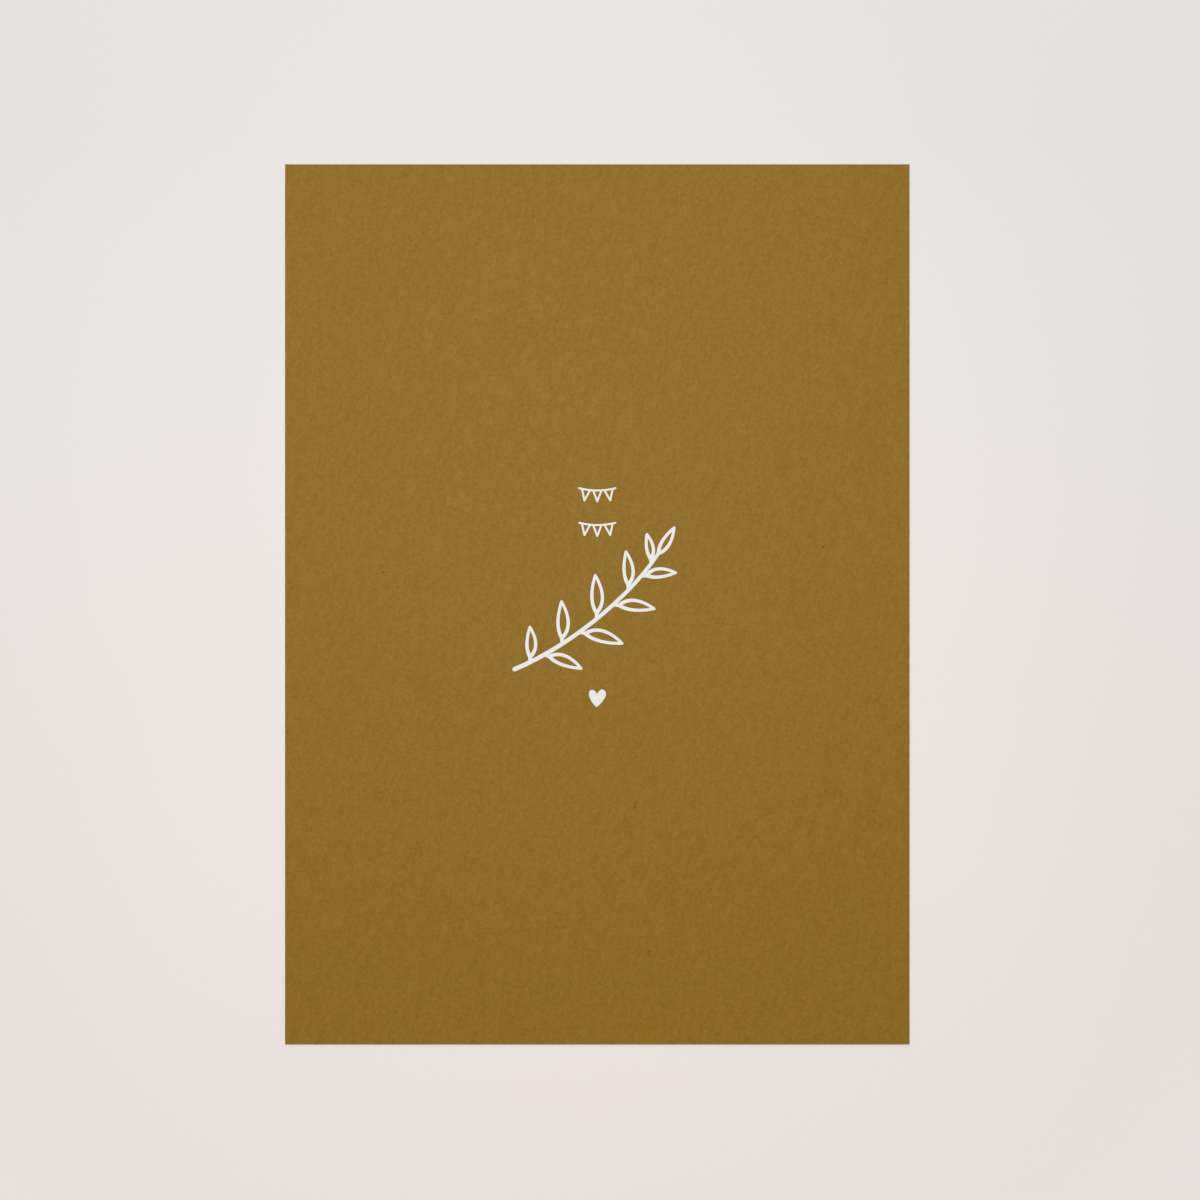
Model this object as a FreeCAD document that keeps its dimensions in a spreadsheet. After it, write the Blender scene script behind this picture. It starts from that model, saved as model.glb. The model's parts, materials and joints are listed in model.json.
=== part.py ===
"""A flat postcard: one sheet of uncoated board, trimmed square on a guillotine.

It lies on its back with the printed face up. Millimetres. The origin is the middle of the back face.
+X runs across the width to the right, +Y along the length to the top of the card, and +Z out of the
printed face.
"""

import FreeCAD
import Part
import Sketcher

import os

from FreeCAD import Vector

DOCUMENT_NAME = "postcard"
OUT_FOLDER = "parts"

# How a sketch names the two ends of a line, and its own origin.
LINE_START = 1
LINE_END = 2
SKETCH_ORIGIN = (-1, 1)

# A rectangle is first drawn at this size; its constraints then set the real one.
FIRST_HALF_SIDE = 10.0

# Two unit vectors point the same way when their dot product is above this.
SAME_WAY = 0.999

# Driving dimensions: alias, value in millimetres, what it is.
DIMENSIONS = [
    ("card_width", 105.0, "trimmed width, the short side of an A6 card"),
    ("card_length", 148.0, "trimmed length, the long side of an A6 card"),
    ("card_thickness", 0.45, "caliper of the board, 350 g/m2 uncoated"),
    ("face_edge_round", 0.06, "radius that the blade presses into the printed face's edges"),
    ("back_edge_round", 0.02, "radius left on the back face's edges"),
]


def make_dimensions_sheet(doc):
    """Put the driving dimensions in a spreadsheet: meaning, value and alias, one row each."""
    sheet = doc.addObject("Spreadsheet::Sheet", "dimensions")
    for row, (alias, value, meaning) in enumerate(DIMENSIONS, start=1):
        sheet.set(f"A{row}", meaning)
        sheet.set(f"B{row}", str(value))
        sheet.setAlias(f"B{row}", alias)
    doc.recompute()


def origin_plane(body, role):
    """The body's own origin plane with this role, such as XY_Plane."""
    for feature in body.Origin.OriginFeatures:
        if feature.Role == role:
            return feature
    raise RuntimeError(f"{body.Label} has no {role}")


def add_centred_rectangle(sketch, width_alias, length_alias):
    """Draw a rectangle about the sketch's origin, its sides bound to two dimensions."""
    half = FIRST_HALF_SIDE
    corners = [Vector(-half, -half), Vector(half, -half), Vector(half, half), Vector(-half, half)]
    for start, end in zip(corners, corners[1:] + corners[:1]):
        sketch.addGeometry(Part.LineSegment(start, end), False)

    bottom, right, top, left = range(4)
    for side, following in ((bottom, right), (right, top), (top, left), (left, bottom)):
        sketch.addConstraint(Sketcher.Constraint("Coincident", side, LINE_END, following, LINE_START))
    for side in (bottom, top):
        sketch.addConstraint(Sketcher.Constraint("Horizontal", side))
    for side in (right, left):
        sketch.addConstraint(Sketcher.Constraint("Vertical", side))
    sketch.addConstraint(
        Sketcher.Constraint("Symmetric", bottom, LINE_START, top, LINE_START, *SKETCH_ORIGIN)
    )

    width = sketch.addConstraint(
        Sketcher.Constraint("DistanceX", bottom, LINE_START, bottom, LINE_END, 2 * half)
    )
    sketch.setExpression(f"Constraints[{width}]", f"dimensions.{width_alias}")
    length = sketch.addConstraint(
        Sketcher.Constraint("DistanceY", right, LINE_START, right, LINE_END, 2 * half)
    )
    sketch.setExpression(f"Constraints[{length}]", f"dimensions.{length_alias}")


def face_pointing(shape, direction):
    """Name of the flat face whose outward normal is this direction, such as Face6."""
    for number, face in enumerate(shape.Faces, start=1):
        if face.normalAt(0, 0).dot(direction) > SAME_WAY:
            return f"Face{number}"
    raise RuntimeError(f"no face points along {direction}")


def add_edge_round(doc, body, name, direction, radius_alias):
    """Round the four edges of the face that points this way."""
    base = body.Tip
    fillet = body.newObject("PartDesign::Fillet", name)
    fillet.Base = (base, [face_pointing(base.Shape, direction)])
    fillet.setExpression("Radius", f"dimensions.{radius_alias}")
    body.Tip = fillet
    doc.recompute()


def make_card(doc):
    """The sheet: its trimmed outline padded to the caliper, then its cut edges rounded."""
    body = doc.addObject("PartDesign::Body", "card")
    body.Label = "card"
    body.Placement = FreeCAD.Placement()

    outline = body.newObject("Sketcher::SketchObject", "trimmed_outline")
    outline.AttachmentSupport = (origin_plane(body, "XY_Plane"), [""])
    outline.MapMode = "FlatFace"
    add_centred_rectangle(outline, "card_width", "card_length")

    sheet_pad = body.newObject("PartDesign::Pad", "board")
    sheet_pad.Profile = outline
    sheet_pad.setExpression("Length", "dimensions.card_thickness")
    body.Tip = sheet_pad
    doc.recompute()

    add_edge_round(doc, body, "printed_face_edges", Vector(0, 0, 1), "face_edge_round")
    add_edge_round(doc, body, "back_face_edges", Vector(0, 0, -1), "back_edge_round")
    return body


def check_document(doc, bodies):
    """Raise if any object failed to compute, or if a body isn't one valid solid."""
    for item in doc.Objects:
        if "Invalid" in item.State or "Error" in item.State:
            raise RuntimeError(f"{item.Label} failed: {item.State}")
    for body in bodies:
        shape = body.Shape
        if shape.isNull() or not shape.isValid():
            raise RuntimeError(f"{body.Label} has no valid shape")
        if len(shape.Solids) != 1:
            raise RuntimeError(f"{body.Label} holds {len(shape.Solids)} solids")


def export_bodies(bodies):
    """Write each body to its own STEP file, named by its label."""
    os.makedirs(OUT_FOLDER, exist_ok=True)
    for body in bodies:
        path = os.path.join(OUT_FOLDER, f"{body.Label}.step")
        body.Shape.exportStep(path)
        box = body.Shape.BoundBox
        print(
            f"{body.Label}: {box.XLength:.3f} x {box.YLength:.3f} x {box.ZLength:.3f} mm,"
            f" {body.Shape.Volume:.2f} mm3"
        )


def main():
    doc = FreeCAD.newDocument(DOCUMENT_NAME)
    make_dimensions_sheet(doc)
    bodies = [make_card(doc)]
    doc.recompute()
    check_document(doc, bodies)
    export_bodies(bodies)


main()
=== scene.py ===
"""The looks of a flat A6 postcard: its board, its print and the pale table that it lies on.

Metres, in the card's own frame: +X to the right across the printed face, +Y to the top of the card, +Z out
of the printed face, and the origin in the middle of the back face. The print's own drawing is in
millimetres from the middle of the card.
"""

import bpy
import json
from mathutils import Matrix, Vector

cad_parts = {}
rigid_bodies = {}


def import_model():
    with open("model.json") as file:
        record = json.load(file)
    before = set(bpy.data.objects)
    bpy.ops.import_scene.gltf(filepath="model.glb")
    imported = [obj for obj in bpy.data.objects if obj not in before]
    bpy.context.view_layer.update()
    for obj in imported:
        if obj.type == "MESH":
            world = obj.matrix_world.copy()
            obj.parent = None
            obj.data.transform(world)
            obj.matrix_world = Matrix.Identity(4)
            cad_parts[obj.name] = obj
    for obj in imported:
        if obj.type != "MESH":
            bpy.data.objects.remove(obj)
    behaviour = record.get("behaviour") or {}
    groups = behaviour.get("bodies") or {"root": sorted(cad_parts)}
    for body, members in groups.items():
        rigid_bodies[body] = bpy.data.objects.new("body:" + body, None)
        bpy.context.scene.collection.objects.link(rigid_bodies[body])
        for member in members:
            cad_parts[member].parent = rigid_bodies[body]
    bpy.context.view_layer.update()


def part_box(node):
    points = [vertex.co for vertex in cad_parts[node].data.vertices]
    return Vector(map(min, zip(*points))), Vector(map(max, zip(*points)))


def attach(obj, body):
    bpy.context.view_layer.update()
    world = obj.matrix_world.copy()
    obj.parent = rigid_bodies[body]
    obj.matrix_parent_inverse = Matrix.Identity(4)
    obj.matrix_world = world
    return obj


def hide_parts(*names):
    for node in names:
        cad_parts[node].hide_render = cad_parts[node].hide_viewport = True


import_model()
CARD_LOW, CARD_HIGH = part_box("card")
CARD_SIZE = CARD_HIGH - CARD_LOW

import json
import math
from typing import NamedTuple

import bpy
from bpy.props import FloatProperty, FloatVectorProperty, PointerProperty
from bpy.types import Operator, Panel, PropertyGroup
from mathutils import Vector

bl_info = {
    "name": "Printed Postcard",
    "version": (1, 0, 0),
    "blender": (4, 5, 0),
    "location": "View3D > Sidebar > Postcard",
    "description": "Models a printed A6 card lying on a pale table",
    "category": "Add Mesh",
}

MM = 0.001
MARKS = "print_marks"


def from_display(red, green, blue):
    """Linear colour for the 0 to 255 levels that a screen shows."""

    def linear(level):
        share = level / 255
        if share <= 0.04045:
            return share / 12.92
        return ((share + 0.055) / 1.055) ** 2.4

    return (linear(red), linear(green), linear(blue))


# --------------------------------------------------------------------------------------------------------
# Settings
# --------------------------------------------------------------------------------------------------------


class BoardSettings(PropertyGroup):
    """Sizes of the trimmed sheet."""

    width: FloatProperty(
        name="Width", description="Short side of the sheet", default=CARD_SIZE.x, unit="LENGTH"
    )
    length: FloatProperty(
        name="Length", description="Long side of the sheet", default=CARD_SIZE.y, unit="LENGTH"
    )
    thickness: FloatProperty(
        name="Thickness", description="Caliper of the board", default=CARD_SIZE.z, unit="LENGTH"
    )
    face_edge_round: FloatProperty(
        name="Face Edge Round",
        description="Radius that the blade presses into the printed face's edges",
        default=0.06 * MM,
        unit="LENGTH",
    )
    back_edge_round: FloatProperty(
        name="Back Edge Round",
        description="Radius left on the back face's edges",
        default=0.02 * MM,
        unit="LENGTH",
    )
    field_width: FloatProperty(
        name="Print Field Width",
        description="Width of the middle panel of the face that holds the white marks",
        default=40 * MM,
        unit="LENGTH",
    )
    field_length: FloatProperty(
        name="Print Field Length",
        description="Length of the middle panel of the face that holds the white marks",
        default=46 * MM,
        unit="LENGTH",
    )


class PrintSettings(PropertyGroup):
    """Sizes of the white marks, which are bare paper that the ink leaves free."""

    sprig_stroke: FloatProperty(
        name="Sprig Stroke", description="Width of the sprig's pen line", default=0.75 * MM, unit="LENGTH"
    )
    bunting_stroke: FloatProperty(
        name="Bunting Stroke",
        description="Width of the bunting's fine line",
        default=0.32 * MM,
        unit="LENGTH",
    )
    bunting_width: FloatProperty(
        name="Bunting Width", description="Span of one string of flags", default=6.4 * MM, unit="LENGTH"
    )
    bunting_drop: FloatProperty(
        name="Bunting Drop",
        description="Height of one string with its flags",
        default=2.74 * MM,
        unit="LENGTH",
    )
    bunting_low: FloatProperty(
        name="Lower Bunting", description="Middle of the lower string", default=12.51 * MM, unit="LENGTH"
    )
    bunting_pitch: FloatProperty(
        name="Bunting Pitch", description="From one string to the next", default=5.82 * MM, unit="LENGTH"
    )
    heart_place: FloatVectorProperty(
        name="Heart Place",
        description="Middle of the heart on the face",
        size=2,
        default=(0.0, -15.8 * MM),
        unit="LENGTH",
    )


class StockSettings(PropertyGroup):
    """Colours and texture of the paper and its ink."""

    ink: FloatVectorProperty(
        name="Ink",
        description="Colour of the printed ground",
        subtype="COLOR",
        default=from_display(143, 108, 29.5),
    )
    ink_swing: FloatProperty(
        name="Ink Swing",
        description="How far the ink's display levels swing with the paper's fibres",
        default=16.0,
    )
    paper: FloatVectorProperty(
        name="Paper",
        description="Colour of the bare paper",
        subtype="COLOR",
        default=from_display(235.5, 234.5, 232),
    )
    fleck: FloatVectorProperty(
        name="Fleck",
        description="Colour of the dark specks",
        subtype="COLOR",
        default=from_display(98, 60, 0),
    )


class StageSettings(PropertyGroup):
    """The table, the camera and the lamps."""

    table: FloatVectorProperty(
        name="Table",
        description="Colour of the table beyond the card's top edge",
        subtype="COLOR",
        default=from_display(232.5, 230, 227.5),
    )
    table_near: FloatVectorProperty(
        name="Table Near Edge",
        description="Colour of the table beyond the card's bottom edge",
        subtype="COLOR",
        default=from_display(249, 239, 235),
    )
    backdrop: FloatVectorProperty(
        name="Backdrop",
        description="Colour that the table pales into away from the card",
        subtype="COLOR",
        default=from_display(232, 229.5, 226.5),
    )
    view_width: FloatProperty(
        name="View Width",
        description="Width of the table that the camera takes in",
        default=201.75 * MM,
        unit="LENGTH",
    )
    view_middle: FloatVectorProperty(
        name="View Middle",
        description="Point that the camera looks down on",
        size=2,
        default=(0.456 * MM, 0.735 * MM),
        unit="LENGTH",
    )
    camera_height: FloatProperty(
        name="Camera Height", description="Camera above the printed face", default=0.34, unit="LENGTH"
    )


# --------------------------------------------------------------------------------------------------------
# Modelling helpers
# --------------------------------------------------------------------------------------------------------


def select_only(*items):
    """Select these objects and make the first one active."""
    bpy.ops.object.select_all(action="DESELECT")
    for item in items:
        item.select_set(True)
    bpy.context.view_layer.objects.active = items[0]


def edit_faces(piece, wanted):
    """Enter edit mode with only the faces selected for which wanted(face) is true."""
    select_only(piece)
    bpy.ops.object.mode_set(mode="EDIT")
    bpy.ops.mesh.select_mode(type="FACE")
    bpy.ops.mesh.select_all(action="DESELECT")
    bpy.ops.object.mode_set(mode="OBJECT")
    for face in piece.data.polygons:
        face.select = wanted(face)
    bpy.ops.object.mode_set(mode="EDIT")


def leave_edit():
    bpy.ops.object.mode_set(mode="OBJECT")


def weld(piece, distance):
    """Merge vertices that lie this close together, and turn the faces outward."""
    select_only(piece)
    bpy.ops.object.mode_set(mode="EDIT")
    bpy.ops.mesh.select_all(action="SELECT")
    bpy.ops.mesh.remove_doubles(threshold=distance)
    bpy.ops.mesh.normals_make_consistent(inside=False)
    bpy.ops.object.mode_set(mode="OBJECT")


def open_edges(mesh):
    """Number of edges that don't have exactly two faces."""
    uses = {}
    for face in mesh.polygons:
        for key in face.edge_keys:
            uses[key] = uses.get(key, 0) + 1
    return sum(count != 2 for count in uses.values())


# --------------------------------------------------------------------------------------------------------
# The print: every mark is an upright solid that crosses the printed face, whose section there is the mark
# --------------------------------------------------------------------------------------------------------

MARK_WELD = 1e-7
PEN_STEPS = 14
PEN_END_SIDES = 32
# The rounded ends of a stroke are a little lower than the stroke, so that no two tops lie in one plane.
PEN_END_DEPTH = 0.93


class Stroke(NamedTuple):
    """One stroke of a round pen: a cubic curve in millimetres, and its widths in metres."""

    start: Vector
    start_handle: Vector
    end_handle: Vector
    end: Vector
    start_width: float
    end_width: float

    def point(self, share):
        rest = 1 - share
        return (
            self.start * rest**3
            + self.start_handle * (3 * rest**2 * share)
            + self.end_handle * (3 * rest * share**2)
            + self.end * share**3
        )

    def direction(self, share):
        rest = 1 - share
        slope = (
            (self.start_handle - self.start) * rest**2
            + (self.end_handle - self.start_handle) * (2 * rest * share)
            + (self.end - self.end_handle) * share**2
        )
        return slope.normalized()


def straight_stroke(start, end, start_width, end_width):
    """A stroke whose handles lie on the line between its ends."""
    return Stroke(start, start.lerp(end, 1 / 3), start.lerp(end, 2 / 3), end, start_width, end_width)


def on_face(place):
    """A drawing point in millimetres as a place on the printed face."""
    return Vector((place.x * MM, place.y * MM, CARD_HIGH.z))


def marks_collection():
    """The collection that holds the marks until they are cut into the face."""
    found = bpy.data.collections.get(MARKS)
    if found is None:
        found = bpy.data.collections.new(MARKS)
        bpy.context.scene.collection.children.link(found)
    return found


def keep_as_mark(piece):
    """Move a mark's solid to the marks' collection."""
    for owner in list(piece.users_collection):
        owner.objects.unlink(piece)
    marks_collection().objects.link(piece)


def add_nib():
    """A square outline one metre across. A curve's radius in metres is then its stroke's width."""
    bpy.ops.object.select_all(action="DESELECT")
    bpy.ops.mesh.primitive_plane_add(size=1)
    bpy.ops.object.mode_set(mode="EDIT")
    bpy.ops.mesh.delete(type="ONLY_FACE")
    bpy.ops.object.mode_set(mode="OBJECT")
    bpy.ops.object.convert(target="CURVE")
    return bpy.context.object


def add_tube(stroke, nib):
    """A stroke as a bar of square section along its curve, without round ends."""
    bpy.ops.object.select_all(action="DESELECT")
    bpy.ops.curve.primitive_bezier_curve_add()
    line = bpy.context.object
    line.data.dimensions = "3D"
    line.data.twist_mode = "Z_UP"
    line.data.resolution_u = PEN_STEPS
    first, last = line.data.splines[0].bezier_points
    for knot in (first, last):
        knot.handle_left_type = knot.handle_right_type = "FREE"
    first.co, first.handle_right = on_face(stroke.start), on_face(stroke.start_handle)
    last.handle_left, last.co = on_face(stroke.end_handle), on_face(stroke.end)
    first.handle_left, last.handle_right = first.co, last.co
    first.radius, last.radius = stroke.start_width, stroke.end_width
    line.data.bevel_mode = "OBJECT"
    line.data.bevel_object = nib
    line.data.use_fill_caps = True
    bpy.ops.object.convert(target="MESH")
    weld(line, MARK_WELD)
    keep_as_mark(line)


def add_pen_end(place, width):
    """The round end of a stroke."""
    bpy.ops.mesh.primitive_cylinder_add(
        vertices=PEN_END_SIDES, radius=width / 2, depth=width * PEN_END_DEPTH, location=on_face(place)
    )
    bpy.ops.object.transform_apply(location=True)
    keep_as_mark(bpy.context.object)


def draw_strokes(strokes):
    """Turn pen strokes into solids that cross the face. Strokes that meet at a point share its round end."""
    nib = add_nib()
    ends = {}
    for stroke in strokes:
        add_tube(stroke, nib)
        for place, width in ((stroke.start, stroke.start_width), (stroke.end, stroke.end_width)):
            key = place.copy().freeze()
            ends[key] = max(ends.get(key, 0), width)
    for place, width in ends.items():
        add_pen_end(place, width)
    bpy.data.objects.remove(nib)


# The stem of the sprig, from its cut foot to its top.
STEM_FOOT = Vector((-13.9, -10.9))
STEM_FOOT_HANDLE = Vector((-5.4, -7.4))
STEM_TOP_HANDLE = Vector((5.0, 0.6))
STEM_TOP = Vector((10.3, 8.6))


class Leaf(NamedTuple):
    """A leaf of the sprig. Lengths in millimetres."""

    along: float
    side: int
    angle: float
    length: float
    width: float
    bow: float
    stalk: float


LEAVES = [
    Leaf(0.10, 1, 64, 5.0, 2.10, 0.30, 0.9),
    Leaf(0.19, -1, 50, 5.7, 2.20, 0.35, 0.9),
    Leaf(0.30, 1, 58, 6.1, 2.35, 0.30, 1.0),
    Leaf(0.41, -1, 51, 6.4, 2.40, 0.40, 1.0),
    Leaf(0.52, 1, 53, 6.3, 2.40, 0.25, 1.0),
    Leaf(0.63, -1, 48, 5.9, 2.25, 0.35, 1.0),
    Leaf(0.74, 1, 48, 5.5, 2.15, 0.30, 0.9),
    Leaf(0.84, -1, 44, 4.9, 2.00, 0.30, 0.9),
    Leaf(0.93, 1, 46, 4.1, 1.75, 0.20, 0.8),
    Leaf(1.00, 1, 2, 5.0, 1.90, 0.15, 0.0),
]
# Line widths as shares of the pen: the stem at its foot and top, a stalk, and a leaf's base and tip.
STEM_WEIGHTS = (1.0, 0.8)
STALK_WEIGHT = 0.8
LEAF_BASE_WEIGHT = 0.84
LEAF_TIP_WEIGHT = 0.62
# Where a leaf edge's two handles stand along the leaf: the belly is nearer the stalk than the tip.
LEAF_BASE_REACH = 0.22
LEAF_TIP_REACH = 0.42
# A cubic whose two handles stand off by one bulges by three quarters.
CUBIC_BULGE = 0.75


def turned(direction, degrees):
    """A flat direction turned anticlockwise."""
    angle = math.radians(degrees)
    cosine, sine = math.cos(angle), math.sin(angle)
    return Vector((direction.x * cosine - direction.y * sine, direction.x * sine + direction.y * cosine))


def leaf_strokes(leaf, stem, pen):
    """The stalk and the two edges of one leaf."""
    foot = stem.point(leaf.along)
    heading = turned(stem.direction(leaf.along), leaf.side * leaf.angle)
    across = turned(heading, 90)
    base = foot + heading * leaf.stalk
    tip = base + heading * leaf.length
    bow = across * (leaf.bow * -leaf.side)
    strokes = []
    if leaf.stalk:
        strokes.append(straight_stroke(foot, base, STALK_WEIGHT * pen, LEAF_BASE_WEIGHT * pen))
    half = (leaf.width - LEAF_BASE_WEIGHT * pen / MM) / 2 / CUBIC_BULGE
    for edge in (1, -1):
        off = across * (edge * half) + bow
        strokes.append(
            Stroke(
                base,
                base + heading * (leaf.length * LEAF_BASE_REACH) + off,
                tip - heading * (leaf.length * LEAF_TIP_REACH) + off,
                tip,
                LEAF_BASE_WEIGHT * pen,
                LEAF_TIP_WEIGHT * pen,
            )
        )
    return strokes


class POSTCARD_OT_draw_sprig(Operator):
    """Draw the leafy sprig in the middle of the face"""

    bl_idname = "postcard.draw_sprig"
    bl_label = "Draw Sprig"

    def execute(self, context):
        pen = context.scene.postcard_print.sprig_stroke
        stem = Stroke(
            STEM_FOOT,
            STEM_FOOT_HANDLE,
            STEM_TOP_HANDLE,
            STEM_TOP,
            STEM_WEIGHTS[0] * pen,
            STEM_WEIGHTS[1] * pen,
        )
        strokes = [stem]
        for leaf in LEAVES:
            strokes += leaf_strokes(leaf, stem, pen)
        draw_strokes(strokes)
        return {"FINISHED"}


BUNTING_ROWS = 2
# A flag's middle along its string, and half of the string that it takes up.
FLAG_PLACES = (0.19, 0.5, 0.81)
FLAG_HALF_SHARE = 0.115
# How far the string sags, and how long a flag is, as shares of the string's drop.
STRING_SAG = 0.16
FLAG_SHARE = 0.76


class POSTCARD_OT_draw_bunting(Operator):
    """Draw the small strings of flags above the sprig"""

    bl_idname = "postcard.draw_bunting"
    bl_label = "Draw Bunting"

    def execute(self, context):
        sizes = context.scene.postcard_print
        pen = sizes.bunting_stroke
        half_span = (sizes.bunting_width - pen) / 2 / MM
        drop = (sizes.bunting_drop - pen) / MM
        strokes = []
        for row in range(BUNTING_ROWS):
            middle = (sizes.bunting_low + row * sizes.bunting_pitch) / MM
            top = middle + drop / 2
            low = top - drop * STRING_SAG / CUBIC_BULGE
            string = Stroke(
                Vector((-half_span, top)),
                Vector((-half_span / 3, low)),
                Vector((half_span / 3, low)),
                Vector((half_span, top)),
                pen,
                pen,
            )
            strokes.append(string)
            for place in FLAG_PLACES:
                hanging = turned(string.direction(place), -90)
                tip = string.point(place) + hanging * (drop * FLAG_SHARE)
                for side in (-1, 1):
                    corner = string.point(place + side * FLAG_HALF_SHARE)
                    strokes.append(straight_stroke(corner, tip, pen, pen))
        draw_strokes(strokes)
        return {"FINISHED"}


class HeartKnot(NamedTuple):
    """A knot of the heart's outline, in millimetres from the heart's middle."""

    handle_before: tuple
    place: tuple
    handle_after: tuple


HEART_KNOTS = [
    HeartKnot((0.10, 1.00), (-0.03, 0.68), (-0.19, 1.03)),
    HeartKnot((-0.50, 1.42), (-0.82, 1.42), (-1.16, 1.42)),
    HeartKnot((-1.42, 1.16), (-1.42, 0.84), (-1.42, 0.10)),
    HeartKnot((-0.80, -0.98), (-0.10, -1.48), (0.45, -1.09)),
    HeartKnot((1.46, 0.06), (1.46, 0.74), (1.46, 1.14)),
    HeartKnot((1.17, 1.50), (0.77, 1.50), (0.42, 1.50)),
]
HEART_HALF_DEPTH = 0.3 * MM


class POSTCARD_OT_draw_heart(Operator):
    """Draw the small solid heart below the sprig"""

    bl_idname = "postcard.draw_heart"
    bl_label = "Draw Heart"

    def execute(self, context):
        middle = Vector(context.scene.postcard_print.heart_place) / MM
        bpy.ops.object.select_all(action="DESELECT")
        bpy.ops.curve.primitive_bezier_circle_add(location=(0, 0, CARD_HIGH.z))
        heart = bpy.context.object
        heart.data.dimensions = "2D"
        heart.data.fill_mode = "BOTH"
        heart.data.resolution_u = PEN_STEPS
        heart.data.extrude = HEART_HALF_DEPTH
        knots = heart.data.splines[0].bezier_points
        knots.add(len(HEART_KNOTS) - len(knots))
        for knot, drawn in zip(knots, HEART_KNOTS):
            knot.handle_left_type = knot.handle_right_type = "FREE"
            before, place, after = ((middle + Vector(point)) * MM for point in drawn)
            knot.handle_left, knot.co, knot.handle_right = before.to_3d(), place.to_3d(), after.to_3d()
        bpy.ops.object.convert(target="MESH")
        bpy.ops.object.transform_apply(location=True)
        weld(heart, MARK_WELD)
        keep_as_mark(heart)
        return {"FINISHED"}


# --------------------------------------------------------------------------------------------------------
# Materials
# --------------------------------------------------------------------------------------------------------


def set_sockets(tree, node, sockets):
    """Give each named input its value, or link it to the output that feeds it."""
    for key, value in sockets.items():
        if isinstance(value, bpy.types.NodeSocket):
            tree.links.new(value, node.inputs[key])
        else:
            node.inputs[key].default_value = value


def add_node(tree, kind, sockets=None, **settings):
    """Add a node with these settings and input sockets."""
    node = tree.nodes.new(kind)
    for name, value in settings.items():
        setattr(node, name, value)
    set_sockets(tree, node, sockets or {})
    return node


def place_group(tree, group, sockets):
    """Place a node group with these values and return its outputs."""
    node = tree.nodes.new("ShaderNodeGroup")
    node.node_tree = group
    set_sockets(tree, node, sockets)
    return node.outputs


def calculate(tree, operation, first, second=0.0, third=0.0, clamp=False):
    """The output of a Math node."""
    node = add_node(
        tree, "ShaderNodeMath", {0: first, 1: second, 2: third}, operation=operation, use_clamp=clamp
    )
    return node.outputs[0]


def mix_colours(tree, factor, first, second):
    """The output of a colour Mix node, whose colours are its inputs 6 and 7 and its output 2."""
    node = add_node(tree, "ShaderNodeMix", {0: factor, 6: first, 7: second}, data_type="RGBA")
    return node.outputs[2]


def new_group(name, inputs, outputs):
    """A shader node group with these sockets: its tree, its input node and its output node."""
    tree = bpy.data.node_groups.new(name, "ShaderNodeTree")
    for label, kind, default in inputs:
        socket = tree.interface.new_socket(name=label, in_out="INPUT", socket_type=kind)
        if default is not None:
            socket.default_value = default
    for label, kind in outputs:
        tree.interface.new_socket(name=label, in_out="OUTPUT", socket_type=kind)
    return tree, tree.nodes.new("NodeGroupInput"), tree.nodes.new("NodeGroupOutput")


# How much each channel of the ink changes, in linear light, for one display level of grey.
INK_LEVEL = (4.4e-3, 3.1e-3, 1.15e-3)


def felt_group():
    """The soft mottle that the felts press into uncoated board: noise drawn out along one direction."""
    tree, given, result = new_group(
        "felt_mottle",
        [
            ("Vector", "NodeSocketVector", None),
            ("Grain Size", "NodeSocketFloat", 1 * MM),
            ("Ply", "NodeSocketFloat", 1 * MM),
            ("Stretch", "NodeSocketFloat", 1.0),
            ("Lean", "NodeSocketFloat", 0.0),
            ("Detail", "NodeSocketFloat", 0.0),
            ("Roughness", "NodeSocketFloat", 1.0),
        ],
        [("Mottle", "NodeSocketFloat")],
    )
    turned_place = add_node(
        tree,
        "ShaderNodeVectorRotate",
        {"Vector": given.outputs["Vector"], "Angle": given.outputs["Lean"]},
        rotation_type="Z_AXIS",
    ).outputs[0]
    across = calculate(tree, "DIVIDE", 1.0, given.outputs["Grain Size"])
    along = calculate(tree, "DIVIDE", across, given.outputs["Stretch"])
    through = calculate(tree, "DIVIDE", 1.0, given.outputs["Ply"])
    scale = add_node(tree, "ShaderNodeCombineXYZ", {"X": across, "Y": along, "Z": through}).outputs[0]
    place = add_node(
        tree, "ShaderNodeVectorMath", {0: turned_place, 1: scale}, operation="MULTIPLY"
    ).outputs[0]
    noise = add_node(
        tree,
        "ShaderNodeTexNoise",
        {
            "Vector": place,
            "Scale": 1.0,
            "Detail": given.outputs["Detail"],
            "Roughness": given.outputs["Roughness"],
        },
    ).outputs["Fac"]
    tree.links.new(calculate(tree, "SUBTRACT", noise, 0.5), result.inputs["Mottle"])
    return tree


# The three layers of the board's texture, from the broadest to the finest.
GRAIN = {"Grain Size": 0.85 * MM, "Stretch": 2.8, "Lean": math.radians(13)}
FIBRES = {
    "Grain Size": 0.46 * MM,
    "Stretch": 1.2,
    "Lean": math.radians(8),
    "Detail": 1.0,
    "Roughness": 0.75,
}
FUZZ = {
    "Grain Size": 0.10 * MM,
    "Stretch": 3.0,
    "Lean": math.radians(-35),
    "Detail": 2.0,
    "Roughness": 0.7,
}


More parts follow.
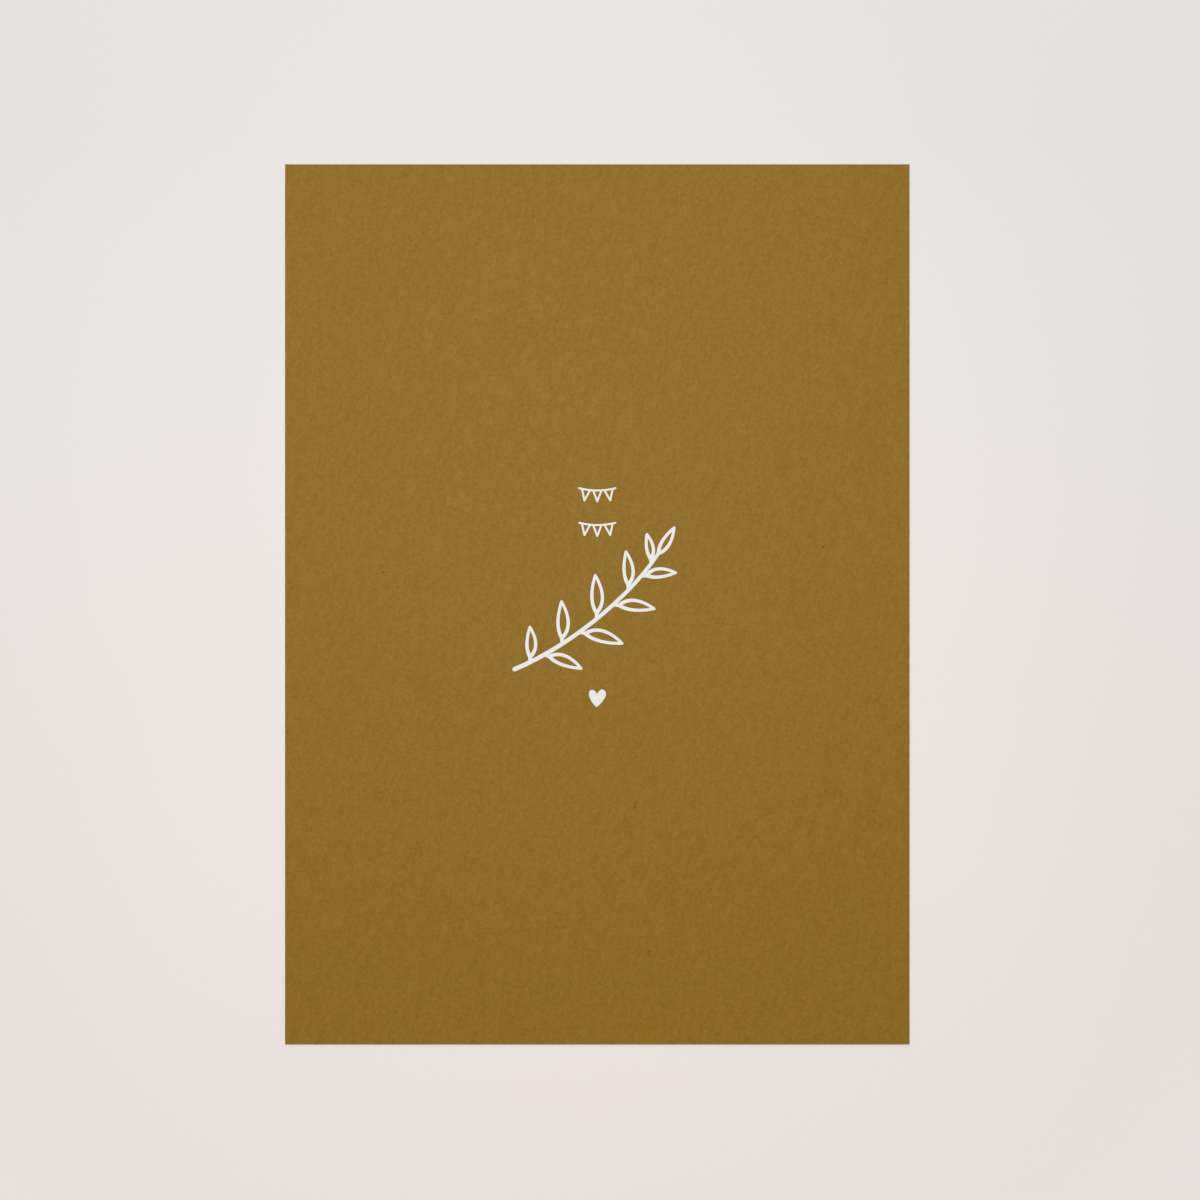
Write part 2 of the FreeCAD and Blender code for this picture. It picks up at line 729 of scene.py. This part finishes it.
def board_group(felt):
    """The board's texture, about zero: the felt's leaning grain, clumps of fibre, and single fibres' fuzz."""
    tree, given, result = new_group(
        "board_mottle",
        [
            ("Vector", "NodeSocketVector", None),
            ("Grain Share", "NodeSocketFloat", 0.20),
            ("Fibre Share", "NodeSocketFloat", 0.63),
            ("Fuzz Share", "NodeSocketFloat", 0.50),
        ],
        [("Mottle", "NodeSocketFloat")],
    )
    grain = place_group(tree, felt, {"Vector": given.outputs["Vector"], **GRAIN})["Mottle"]
    fibres = place_group(tree, felt, {"Vector": given.outputs["Vector"], **FIBRES})["Mottle"]
    fuzz = place_group(tree, felt, {"Vector": given.outputs["Vector"], **FUZZ})["Mottle"]
    mottle = calculate(tree, "MULTIPLY", grain, given.outputs["Grain Share"])
    mottle = calculate(tree, "MULTIPLY_ADD", fibres, given.outputs["Fibre Share"], mottle)
    mottle = calculate(tree, "MULTIPLY_ADD", fuzz, given.outputs["Fuzz Share"], mottle)
    tree.links.new(mottle, result.inputs["Mottle"])
    return tree


def finish_group():
    """Uncoated paper's finish: matt, with a faint sheen that breaks up on the raised grain."""
    tree, given, result = new_group(
        "paper_finish",
        [
            ("Mottle", "NodeSocketFloat", 0.0),
            ("Roughness", "NodeSocketFloat", 0.48),
            ("Roughness Swing", "NodeSocketFloat", 0.12),
            ("Relief", "NodeSocketFloat", 0.05 * MM),
        ],
        [("Roughness", "NodeSocketFloat"), ("Normal", "NodeSocketVector")],
    )
    swing = calculate(tree, "MULTIPLY", given.outputs["Mottle"], given.outputs["Roughness Swing"])
    roughness = calculate(tree, "SUBTRACT", given.outputs["Roughness"], swing, clamp=True)
    bump = add_node(
        tree, "ShaderNodeBump", {"Height": given.outputs["Mottle"], "Distance": given.outputs["Relief"]}
    )
    tree.links.new(roughness, result.inputs["Roughness"])
    tree.links.new(bump.outputs[0], result.inputs["Normal"])
    return tree


# A speck is dark within the first share of its half length and width, and gone beyond the second.
FLECK_CORE = 0.4
FLECK_EDGE = 1.3


def fleck_group():
    """A dark speck caught in the sheet: a soft-edged oval."""
    tree, given, result = new_group(
        "paper_fleck",
        [
            ("Vector", "NodeSocketVector", None),
            ("Centre", "NodeSocketVector", None),
            ("Angle", "NodeSocketFloat", 0.0),
            ("Length", "NodeSocketFloat", 0.5 * MM),
            ("Width", "NodeSocketFloat", 0.3 * MM),
        ],
        [("Mask", "NodeSocketFloat")],
    )
    from_centre = add_node(
        tree,
        "ShaderNodeVectorMath",
        {0: given.outputs["Vector"], 1: given.outputs["Centre"]},
        operation="SUBTRACT",
    ).outputs[0]
    turned_place = add_node(
        tree,
        "ShaderNodeVectorRotate",
        {"Vector": from_centre, "Angle": given.outputs["Angle"]},
        rotation_type="Z_AXIS",
        invert=True,
    ).outputs[0]
    per_length = calculate(tree, "DIVIDE", 2.0, given.outputs["Length"])
    per_width = calculate(tree, "DIVIDE", 2.0, given.outputs["Width"])
    scale = add_node(tree, "ShaderNodeCombineXYZ", {"X": per_length, "Y": per_width}).outputs[0]
    place = add_node(
        tree, "ShaderNodeVectorMath", {0: turned_place, 1: scale}, operation="MULTIPLY"
    ).outputs[0]
    reach = add_node(tree, "ShaderNodeVectorMath", {0: place}, operation="LENGTH").outputs["Value"]
    mask = add_node(
        tree,
        "ShaderNodeMapRange",
        {"Value": reach, "From Min": FLECK_EDGE, "From Max": FLECK_CORE},
        interpolation_type="SMOOTHSTEP",
    ).outputs[0]
    tree.links.new(mask, result.inputs["Mask"])
    return tree


class Fleck(NamedTuple):
    """A speck in the ochre face. Millimetres from the middle of the card, and degrees from its width."""

    x: float
    y: float
    angle: float
    length: float
    width: float
    strength: float


# Five places hold single or clustered specks, and the last six lengths are one curled fibre.
FLECKS = [
    Fleck(-6.17, -11.05, 95, 0.50, 0.34, 0.60),
    Fleck(6.50, -33.45, 78, 0.80, 0.40, 0.34),
    Fleck(6.30, -34.10, 55, 0.70, 0.44, 0.41),
    Fleck(37.95, 9.65, 25, 0.58, 0.38, 0.64),
    Fleck(8.64, -58.98, 82, 0.64, 0.30, 0.50),
    Fleck(8.68, -58.28, 96, 0.80, 0.26, 0.36),
    Fleck(9.05, -58.45, 60, 0.55, 0.26, 0.30),
    Fleck(9.74, -59.45, 60, 0.45, 0.32, 0.22),
    Fleck(-36.10, 5.38, 100, 0.55, 0.42, 0.35),
    Fleck(25.56, -40.66, 82, 1.00, 0.28, 0.30),
    Fleck(25.84, -40.00, 66, 0.80, 0.28, 0.24),
    Fleck(26.10, -39.56, 52, 0.80, 0.28, 0.24),
    Fleck(26.56, -39.14, 22, 0.90, 0.30, 0.30),
    Fleck(27.14, -39.30, 142, 0.70, 0.28, 0.20),
    Fleck(27.34, -40.00, 98, 0.80, 0.28, 0.18),
]

PAPER_SPECULAR = 0.1
# The darkest and the lightest of the bare paper and of the cut edge, as shares of the paper's colour.
PAPER_RANGE = (0.97, 1.03)
CUT_RANGE = (0.80, 1.04)
CUT_STREAKS = {"Grain Size": 1.4 * MM, "Ply": 0.07 * MM, "Detail": 2.0, "Roughness": 0.9}


def new_material(name):
    """An empty node material: the material, its tree, its shader and its Object coordinates."""
    material = bpy.data.materials.new(name)
    material.use_nodes = True
    tree = material.node_tree
    tree.nodes.clear()
    output = tree.nodes.new("ShaderNodeOutputMaterial")
    shader = tree.nodes.new("ShaderNodeBsdfPrincipled")
    tree.links.new(shader.outputs[0], output.inputs["Surface"])
    place = tree.nodes.new("ShaderNodeTexCoord").outputs["Object"]
    return material, tree, shader, place


def mottled_colour(tree, mottle, low, high):
    """A colour that runs from low to high with the mottle."""
    share = calculate(tree, "ADD", mottle, 0.5, clamp=True)
    return mix_colours(tree, share, (*low, 1.0), (*high, 1.0))


def finish_paper(tree, shader, finish, mottle, specks=0.0):
    """Give a paper shader its relief and its faint sheen, which specks dull."""
    given = place_group(tree, finish, {"Mottle": mottle})
    roughness = calculate(tree, "ADD", given["Roughness"], specks, clamp=True)
    tree.links.new(roughness, shader.inputs["Roughness"])
    tree.links.new(given["Normal"], shader.inputs["Normal"])
    shader.inputs["Specular IOR Level"].default_value = PAPER_SPECULAR


def speck_strength(tree, place, fleck):
    """How much the specks cover the face: 0 where there are none."""
    specks = 0.0
    for item in FLECKS:
        mask = place_group(
            tree,
            fleck,
            {
                "Vector": place,
                "Centre": (item.x * MM, item.y * MM, 0.0),
                "Angle": math.radians(item.angle),
                "Length": item.length * MM,
                "Width": item.width * MM,
            },
        )["Mask"]
        strength = calculate(tree, "MULTIPLY", mask, item.strength)
        specks = calculate(tree, "MAXIMUM", specks, strength)
    return specks


def ink_material(stock, board, finish, fleck):
    """The ochre ground: ink sunk into uncoated board, so that the fibres show as a soft mottle."""
    material, tree, shader, place = new_material("ochre_ink")
    mottle = place_group(tree, board, {"Vector": place})["Mottle"]
    ink = Vector(stock.ink)
    swing = Vector(INK_LEVEL) * stock.ink_swing
    ground = mottled_colour(tree, mottle, ink - swing, ink + swing)
    specks = speck_strength(tree, place, fleck)
    colour = mix_colours(tree, specks, ground, (*stock.fleck, 1.0))
    tree.links.new(colour, shader.inputs["Base Color"])
    finish_paper(tree, shader, finish, mottle, specks)
    return material


def paper_material(stock, board, finish):
    """Bare uncoated board: the white marks and the back."""
    material, tree, shader, place = new_material("bare_paper")
    mottle = place_group(tree, board, {"Vector": place})["Mottle"]
    low, high = (Vector(stock.paper) * share for share in PAPER_RANGE)
    tree.links.new(mottled_colour(tree, mottle, low, high), shader.inputs["Base Color"])
    finish_paper(tree, shader, finish, mottle)
    return material


def cut_material(stock, felt, finish):
    """The cut edge: the board's plies and fibres, seen end on as streaks along the edge."""
    material, tree, shader, place = new_material("cut_edge")
    streaks = place_group(tree, felt, {"Vector": place, **CUT_STREAKS})["Mottle"]
    low, high = (Vector(stock.paper) * share for share in CUT_RANGE)
    tree.links.new(mottled_colour(tree, streaks, low, high), shader.inputs["Base Color"])
    finish_paper(tree, shader, finish, streaks)
    return material


# --------------------------------------------------------------------------------------------------------
# The card
# --------------------------------------------------------------------------------------------------------

WELD = 1e-6
FACE_ROUND_STEPS = 4
BACK_ROUND_STEPS = 2
# New faces take the first slot, so the faces that fill the marks' outlines are bare paper.
PAPER_SLOT, INK_SLOT, CUT_SLOT = range(3)
# A face whose normal's height is above this lies level.
UPWARD = 0.999
# A face whose normal's height is nearer zero than this stands upright.
SIDEWAYS = 0.3


def join_marks():
    """Union every mark into one closed solid."""
    marks = list(marks_collection().objects)
    if not marks:
        raise RuntimeError("draw the marks first")
    whole, others = marks[0], marks[1:]
    marks_collection().objects.unlink(whole)
    bpy.context.scene.collection.objects.link(whole)
    select_only(whole)
    union = whole.modifiers.new("union", "BOOLEAN")
    union.operation = "UNION"
    union.solver = "EXACT"
    union.operand_type = "COLLECTION"
    union.collection = marks_collection()
    bpy.ops.object.modifier_apply(modifier=union.name)
    for mark in others:
        bpy.data.objects.remove(mark)
    bpy.data.collections.remove(marks_collection())
    if open_edges(whole.data):
        raise RuntimeError("the marks didn't join into a closed solid")
    return whole


def add_ground(board, marks):
    """The printed middle panel of the face: flat, with the marks left open."""
    bpy.ops.object.select_all(action="DESELECT")
    bpy.ops.mesh.primitive_cube_add(
        size=1,
        location=(0, 0, CARD_LOW.z + board.thickness / 2),
        scale=(board.field_width, board.field_length, board.thickness),
    )
    bpy.ops.object.transform_apply(location=True, scale=True)
    ground = bpy.context.object
    cut = ground.modifiers.new("cut", "BOOLEAN")
    cut.operation = "DIFFERENCE"
    cut.solver = "EXACT"
    cut.object = marks
    bpy.ops.object.modifier_apply(modifier=cut.name)
    top = CARD_LOW.z + board.thickness
    edit_faces(ground, lambda face: face.normal.z < UPWARD or top - face.center.z > MARK_WELD)
    bpy.ops.mesh.delete(type="FACE")
    leave_edit()
    return ground


def add_blank(board):
    """The trimmed sheet with its rounded edges and an opening where the print field goes."""
    bpy.ops.object.select_all(action="DESELECT")
    bpy.ops.mesh.primitive_cube_add(
        size=1,
        location=(0, 0, CARD_LOW.z + board.thickness / 2),
        scale=(board.width, board.length, board.thickness),
    )
    bpy.ops.object.transform_apply(location=True, scale=True)
    blank = bpy.context.object
    edit_faces(blank, lambda face: face.normal.z > UPWARD)
    bpy.ops.mesh.bevel(offset=board.face_edge_round, segments=FACE_ROUND_STEPS, affect="EDGES")
    leave_edit()
    edit_faces(blank, lambda face: face.normal.z < -UPWARD)
    bpy.ops.mesh.bevel(offset=board.back_edge_round, segments=BACK_ROUND_STEPS, affect="EDGES")
    leave_edit()

    margin = (board.width - board.field_width) / 2 - board.face_edge_round
    flat_length = board.length - 2 * board.face_edge_round
    edit_faces(blank, lambda face: face.normal.z > UPWARD)
    bpy.ops.mesh.inset(thickness=margin, depth=0)
    bpy.ops.transform.resize(
        value=(1, board.field_length / (flat_length - 2 * margin), 1),
        center_override=(0, 0, board.thickness),
    )
    bpy.ops.mesh.delete(type="FACE")
    leave_edit()
    return blank


def paint(piece, board):
    """Give each face its slot: ink on the printed side, bare paper on the back, and the cut edges."""
    rim = CARD_LOW.z + board.thickness - board.face_edge_round
    for face in piece.data.polygons:
        if face.center.z > rim and face.normal.z > 0:
            face.material_index = INK_SLOT
        elif face.normal.z < -SIDEWAYS:
            face.material_index = PAPER_SLOT
        else:
            face.material_index = CUT_SLOT


def fill_marks(card):
    """Close the marks' outlines with faces of bare paper."""
    select_only(card)
    bpy.ops.object.mode_set(mode="EDIT")
    bpy.ops.mesh.select_mode(type="EDGE")
    bpy.ops.mesh.select_all(action="DESELECT")
    bpy.ops.mesh.select_non_manifold(extend=False, use_wire=False, use_multi_face=False, use_verts=False)
    bpy.ops.mesh.fill(use_beauty=True)
    bpy.ops.mesh.select_all(action="SELECT")
    bpy.ops.mesh.normals_make_consistent(inside=False)
    bpy.ops.object.mode_set(mode="OBJECT")


class Patch(NamedTuple):
    """A rectangle of a larger one: its lower left corner and its size, as shares of the larger one's."""

    left: float
    bottom: float
    width: float
    height: float

    def outward(self, across, up):
        """A point given in shares of the patch, in shares of the larger rectangle."""
        return (self.left + self.width * across, self.bottom + self.height * up)

    def inward(self, across, up):
        """A point given in shares of the larger rectangle, in shares of the patch."""
        return ((across - self.left) / self.width, (up - self.bottom) / self.height)


MAP_NAME = "OFBake"
# Where the card's sides lie on its texture map. An edge's patch is named by the way that the edge faces.
FACE_PATCH = Patch(0.005, 0.005, 0.695, 0.990)
MARKS_PATCH = Patch(0.7125, 0.615, 0.280, 0.373)
BACK_PATCH = Patch(0.7125, 0.200, 0.280, 0.395)
EDGE_PATCHES = {
    (1, 0): Patch(0.7125, 0.010, 0.280, 0.012),
    (-1, 0): Patch(0.7125, 0.040, 0.280, 0.012),
    (0, 1): Patch(0.7125, 0.070, 0.200, 0.012),
    (0, -1): Patch(0.7125, 0.100, 0.200, 0.012),
}
# The part of the card's face that the marks' patch shows.
MARKS_WINDOW = Patch(0.355, 0.375, 0.280, 0.265)


def map_place(face, place, board):
    """Where a face's corner lies on the texture map."""
    across = place.x / board.width + 0.5
    up = place.y / board.length + 0.5
    if face.normal.z > SIDEWAYS and face.material_index == PAPER_SLOT:
        return MARKS_PATCH.outward(*MARKS_WINDOW.inward(across, up))
    if face.normal.z > SIDEWAYS:
        return FACE_PATCH.outward(across, up)
    if face.normal.z < -SIDEWAYS:
        return BACK_PATCH.outward(1 - across, up)
    height = (place.z - CARD_LOW.z) / board.thickness
    patch = EDGE_PATCHES[(round(face.normal.x), round(face.normal.y))]
    along = up if abs(face.normal.x) > abs(face.normal.y) else across
    return patch.outward(along, height)


def lay_out_map(card, board):
    """Give the printed face most of the card's texture map, with the marks, back and edges beside it."""
    while card.data.uv_layers:
        card.data.uv_layers.remove(card.data.uv_layers[0])
    layer = card.data.uv_layers.new(name=MAP_NAME)
    for face in card.data.polygons:
        for corner in face.loop_indices:
            vertex = card.data.vertices[card.data.loops[corner].vertex_index]
            layer.uv[corner].vector = map_place(face, vertex.co, board)


class POSTCARD_OT_make_card(Operator):
    """Model the sheet and cut the print into its face"""

    bl_idname = "postcard.make_card"
    bl_label = "Make Card"

    def execute(self, context):
        board = context.scene.postcard_board
        stock = context.scene.postcard_stock
        felt, finish = felt_group(), finish_group()
        mottle = board_group(felt)
        materials = [
            paper_material(stock, mottle, finish),
            ink_material(stock, mottle, finish, fleck_group()),
            cut_material(stock, felt, finish),
        ]

        marks = join_marks()
        ground = add_ground(board, marks)
        bpy.data.objects.remove(marks)
        card = add_blank(board)
        card.name = "printed_card"
        for piece in (card, ground):
            piece.data.materials.clear()
            for material in materials:
                piece.data.materials.append(material)
            paint(piece, board)
        select_only(card, ground)
        bpy.ops.object.join()
        weld(card, WELD)
        fill_marks(card)
        if open_edges(card.data):
            raise RuntimeError("the card isn't closed")
        lay_out_map(card, board)

        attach(card, "root")
        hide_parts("card")
        return {"FINISHED"}


# --------------------------------------------------------------------------------------------------------
# The stage
# --------------------------------------------------------------------------------------------------------

TABLE_SIDE = 4.0
TABLE_GAP = 0.02 * MM
OPENING_MARGIN = 0.1 * MM
TABLE_ROUGHNESS = 0.8
TABLE_SPECULAR = 0.2
# Down the card's length, the table's colour turns to that of its near edge between these places.
FAR_PLACE = 80 * MM
NEAR_PLACE = -100 * MM
# Between these distances from the middle, the table pales into the backdrop.
FADE_START = 0.06
FADE_END = 0.20
# The camera's sensor is 36 mm wide. It and the lens are given in millimetres.
SENSOR_WIDTH = 36
NEAREST_SEEN = 0.01


class Lamp(NamedTuple):
    """A square soft box that faces the card. Metres and watts."""

    name: str
    place: tuple
    side: float
    power: float


LAMPS = [
    Lamp("over_lamp", (-0.010, 0.045, 0.30), 0.12, 0.378),
    Lamp("back_lamp", (-0.05, 0.25, 0.35), 0.2, 0.20),
    Lamp("under_lamp", (-0.20, -0.20, -0.60), 0.3, 1.65),
]
WORLD_STRENGTH = 0.51


def seen_directly(tree):
    """1 for a ray from the camera, or for one that a glossy or clear surface shows, and 0 for light."""
    path = tree.nodes.new("ShaderNodeLightPath")
    seen = calculate(tree, "MAXIMUM", path.outputs["Is Camera Ray"], path.outputs["Is Glossy Ray"])
    return calculate(tree, "MAXIMUM", seen, path.outputs["Is Transmission Ray"])


def table_material(stage):
    """The table: pale and matt, warmer below the card. It pales into the backdrop away from the card, and
    it is clear from below, so that the card's back can be seen."""
    material, tree, shader, place = new_material("table_top")
    height = add_node(tree, "ShaderNodeSeparateXYZ", {0: place}).outputs["Y"]
    nearness = add_node(
        tree, "ShaderNodeMapRange", {"Value": height, "From Min": FAR_PLACE, "From Max": NEAR_PLACE}
    ).outputs[0]
    colour = mix_colours(tree, nearness, (*stage.table, 1.0), (*stage.table_near, 1.0))
    tree.links.new(colour, shader.inputs["Base Color"])
    shader.inputs["Roughness"].default_value = TABLE_ROUGHNESS
    shader.inputs["Specular IOR Level"].default_value = TABLE_SPECULAR

    distance = add_node(tree, "ShaderNodeVectorMath", {0: place}, operation="LENGTH").outputs["Value"]
    farness = add_node(
        tree,
        "ShaderNodeMapRange",
        {"Value": distance, "From Min": FADE_START, "From Max": FADE_END},
        interpolation_type="SMOOTHSTEP",
    ).outputs[0]
    glow = add_node(tree, "ShaderNodeEmission", {"Color": (*stage.backdrop, 1.0), "Strength": 1.0})
    share = calculate(tree, "MULTIPLY", farness, seen_directly(tree))
    top = add_node(tree, "ShaderNodeMixShader", {0: share, 1: shader.outputs[0], 2: glow.outputs[0]})

    below = tree.nodes.new("ShaderNodeNewGeometry").outputs["Backfacing"]
    clear = tree.nodes.new("ShaderNodeBsdfTransparent")
    both = add_node(tree, "ShaderNodeMixShader", {0: below, 1: top.outputs[0], 2: clear.outputs[0]})
    output = next(node for node in tree.nodes if node.type == "OUTPUT_MATERIAL")
    tree.links.new(both.outputs[0], output.inputs["Surface"])
    return material


def add_table(stage, board):
    """The table top. It is open under the card, just inside its outline, so that light reaches the back."""
    bpy.ops.object.select_all(action="DESELECT")
    bpy.ops.mesh.primitive_plane_add(size=TABLE_SIDE, location=(0, 0, CARD_LOW.z - TABLE_GAP))
    table = bpy.context.object
    table.name = "table"
    bpy.ops.object.transform_apply(location=True)
    edit_faces(table, lambda face: True)
    bpy.ops.mesh.inset(thickness=TABLE_SIDE / 4, depth=0)
    inner_side = TABLE_SIDE / 2
    bpy.ops.transform.resize(
        value=(
            (board.width - 2 * OPENING_MARGIN) / inner_side,
            (board.length - 2 * OPENING_MARGIN) / inner_side,
            1,
        ),
        center_override=(0, 0, 0),
    )
    bpy.ops.mesh.delete(type="FACE")
    leave_edit()
    table.data.materials.append(table_material(stage))


def add_lamp(lamp, target):
    """Add one soft box and turn it to the card."""
    bpy.ops.object.light_add(type="AREA", location=lamp.place)
    made = bpy.context.object
    made.name = lamp.name
    made.data.shape = "SQUARE"
    made.data.size = lamp.side
    made.data.energy = lamp.power
    made.visible_camera = False
    made.rotation_euler = (target - Vector(lamp.place)).to_track_quat("-Z", "Y").to_euler()


def add_world(colour):
    """Even light from all round, and a pale backdrop where the camera sees it."""
    world = bpy.data.worlds.new("studio")
    bpy.context.scene.world = world
    world.use_nodes = True
    tree = world.node_tree
    tree.nodes.clear()
    light = add_node(tree, "ShaderNodeBackground", {"Color": (1, 1, 1, 1), "Strength": WORLD_STRENGTH})
    backdrop = add_node(tree, "ShaderNodeBackground", {"Color": (*colour, 1.0), "Strength": 1.0})
    mixed = add_node(
        tree, "ShaderNodeMixShader", {0: seen_directly(tree), 1: light.outputs[0], 2: backdrop.outputs[0]}
    )
    output = tree.nodes.new("ShaderNodeOutputWorld")
    tree.links.new(mixed.outputs[0], output.inputs["Surface"])


class POSTCARD_OT_set_stage(Operator):
    """Add the table, the lamps and the camera above the card"""

    bl_idname = "postcard.set_stage"
    bl_label = "Set Stage"

    def execute(self, context):
        stage = context.scene.postcard_stage
        add_table(stage, context.scene.postcard_board)
        target = Vector((0, 0, CARD_HIGH.z))
        for lamp in LAMPS:
            add_lamp(lamp, target)
        add_world(stage.backdrop)

        # A new camera looks straight down.
        aim = Vector((*stage.view_middle, CARD_HIGH.z))
        bpy.ops.object.camera_add(location=aim + Vector((0, 0, stage.camera_height)))
        camera = bpy.context.object
        camera.data.sensor_width = SENSOR_WIDTH
        camera.data.lens = SENSOR_WIDTH * stage.camera_height / stage.view_width
        camera.data.clip_start = NEAREST_SEEN
        context.scene.camera = camera
        context.scene.view_settings.view_transform = "Standard"
        return {"FINISHED"}


# --------------------------------------------------------------------------------------------------------
# Registration
# --------------------------------------------------------------------------------------------------------

SETTINGS = {
    "postcard_board": BoardSettings,
    "postcard_print": PrintSettings,
    "postcard_stock": StockSettings,
    "postcard_stage": StageSettings,
}
STEPS = (
    POSTCARD_OT_draw_bunting,
    POSTCARD_OT_draw_sprig,
    POSTCARD_OT_draw_heart,
    POSTCARD_OT_make_card,
    POSTCARD_OT_set_stage,
)


class POSTCARD_PT_tools(Panel):
    """Lists the card's settings and the steps that model it"""

    bl_label = "Postcard"
    bl_idname = "POSTCARD_PT_tools"
    bl_space_type = "VIEW_3D"
    bl_region_type = "UI"
    bl_category = "Postcard"

    def draw(self, context):
        for name, group in SETTINGS.items():
            box = self.layout.box()
            settings = getattr(context.scene, name)
            for prop in group.__annotations__:
                box.prop(settings, prop)
        for step in STEPS:
            self.layout.operator(step.bl_idname)


CLASSES = (*SETTINGS.values(), *STEPS, POSTCARD_PT_tools)


def register():
    for item in CLASSES:
        bpy.utils.register_class(item)
    for name, group in SETTINGS.items():
        setattr(bpy.types.Scene, name, PointerProperty(type=group))


def unregister():
    for name in SETTINGS:
        delattr(bpy.types.Scene, name)
    for item in reversed(CLASSES):
        bpy.utils.unregister_class(item)


def main():
    register()
    bpy.ops.postcard.draw_bunting()
    bpy.ops.postcard.draw_sprig()
    bpy.ops.postcard.draw_heart()
    bpy.ops.postcard.make_card()
    bpy.ops.postcard.set_stage()


if __name__ == "__main__":
    main()
